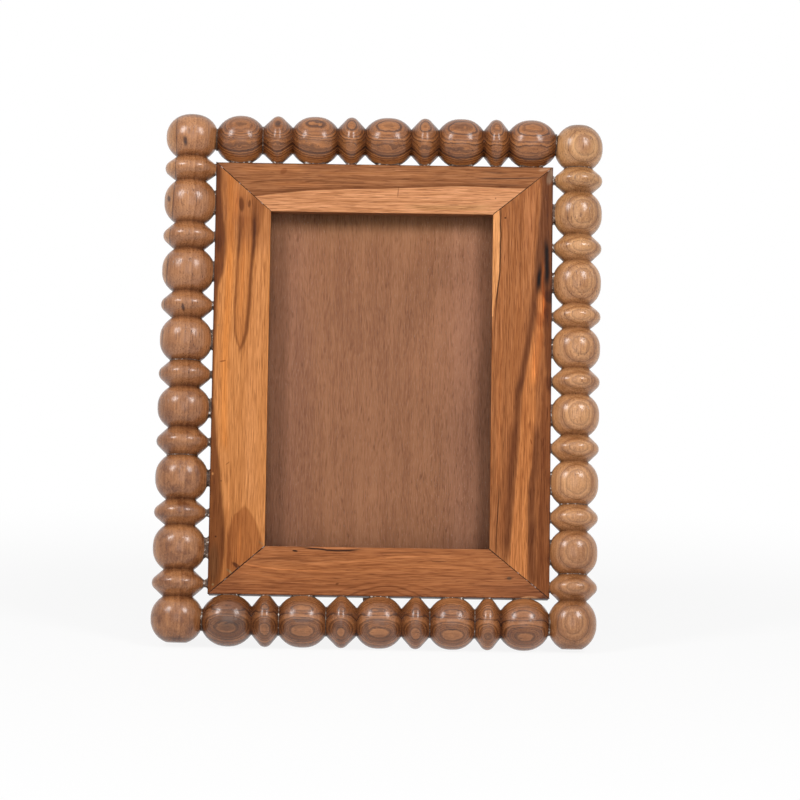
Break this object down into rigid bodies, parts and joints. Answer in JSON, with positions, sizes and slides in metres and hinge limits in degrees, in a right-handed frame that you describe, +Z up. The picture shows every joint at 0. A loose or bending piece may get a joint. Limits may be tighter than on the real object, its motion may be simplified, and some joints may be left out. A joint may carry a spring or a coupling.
{
  "type": "picture frame",
  "caption": "Wooden tabletop picture frame: flat mitred rails inside a border of turned bobbin spindles, with glass, backing board, turn buttons and a hinged easel strut.",
  "frame": {"origin": "on the table, under the middle of the whole object as it stands on its strut", "axes": "+Z up; the picture faces -Y and leans back towards +Y; +X to the right as seen from the front"},
  "size_m": [0.1916, 0.0898, 0.2259],
  "materials": {
    "rail_wood": "streaky orange-brown hardwood, satin lacquer",
    "spindle_wood": "turned, light brown with growth rings, satin lacquer",
    "board_veneer": "fine upright grain, matt",
    "dowel_wood": "plain beech",
    "strut_wood": "satin",
    "glass": "clear float glass",
    "brass": "satin",
    "steel": "plain"
  },
  "bodies": {
    "frame": {"top_rail": "rail_wood", "bottom_rail": "rail_wood", "left_rail": "rail_wood", "right_rail": "rail_wood", "left_spindle": "spindle_wood", "right_spindle": "spindle_wood", "top_spindle": "spindle_wood", "bottom_spindle": "spindle_wood", "corner_dowels": "dowel_wood", "mitre_brads": "steel", "glass_pane": "glass", "backing_board": "board_veneer", "hinge_fixed_leaf": "brass", "hinge_pin": "steel", "fixed_leaf_screws": "brass", "button_screws": "brass"},
    "strut": {"strut_leg": "strut_wood", "hinge_moving_leaf": "brass", "strut_rivets": "brass"},
    "turn_button_upper_left": {"turn_button_upper_left": "brass"},
    "turn_button_upper_right": {"turn_button_upper_right": "brass"},
    "turn_button_lower_left": {"turn_button_lower_left": "brass"},
    "turn_button_lower_right": {"turn_button_lower_right": "brass"}
  },
  "joints": [
    {"name": "strut_hinge", "type": "hinge", "parent": "frame", "child": "strut", "pos_m": [0.0004, 0.01125, 0.16155], "axis": [1, 0, 0], "range_deg": [-23, 0]},
    {"name": "button_upper_left_pivot", "type": "hinge", "parent": "frame", "child": "turn_button_upper_left", "pos_m": [-0.0569, 0.00684, 0.14848], "axis": [0, 0.9781, -0.2079], "continuous": true},
    {"name": "button_upper_right_pivot", "type": "hinge", "parent": "frame", "child": "turn_button_upper_right", "pos_m": [0.0577, 0.00684, 0.14848], "axis": [0, 0.9781, -0.2079], "continuous": true},
    {"name": "button_lower_left_pivot", "type": "hinge", "parent": "frame", "child": "turn_button_lower_left", "pos_m": [-0.0569, -0.00916, 0.07316], "axis": [0, 0.9781, -0.2079], "continuous": true},
    {"name": "button_lower_right_pivot", "type": "hinge", "parent": "frame", "child": "turn_button_lower_right", "pos_m": [0.0577, -0.00916, 0.07316], "axis": [0, 0.9781, -0.2079], "continuous": true}
  ]
}
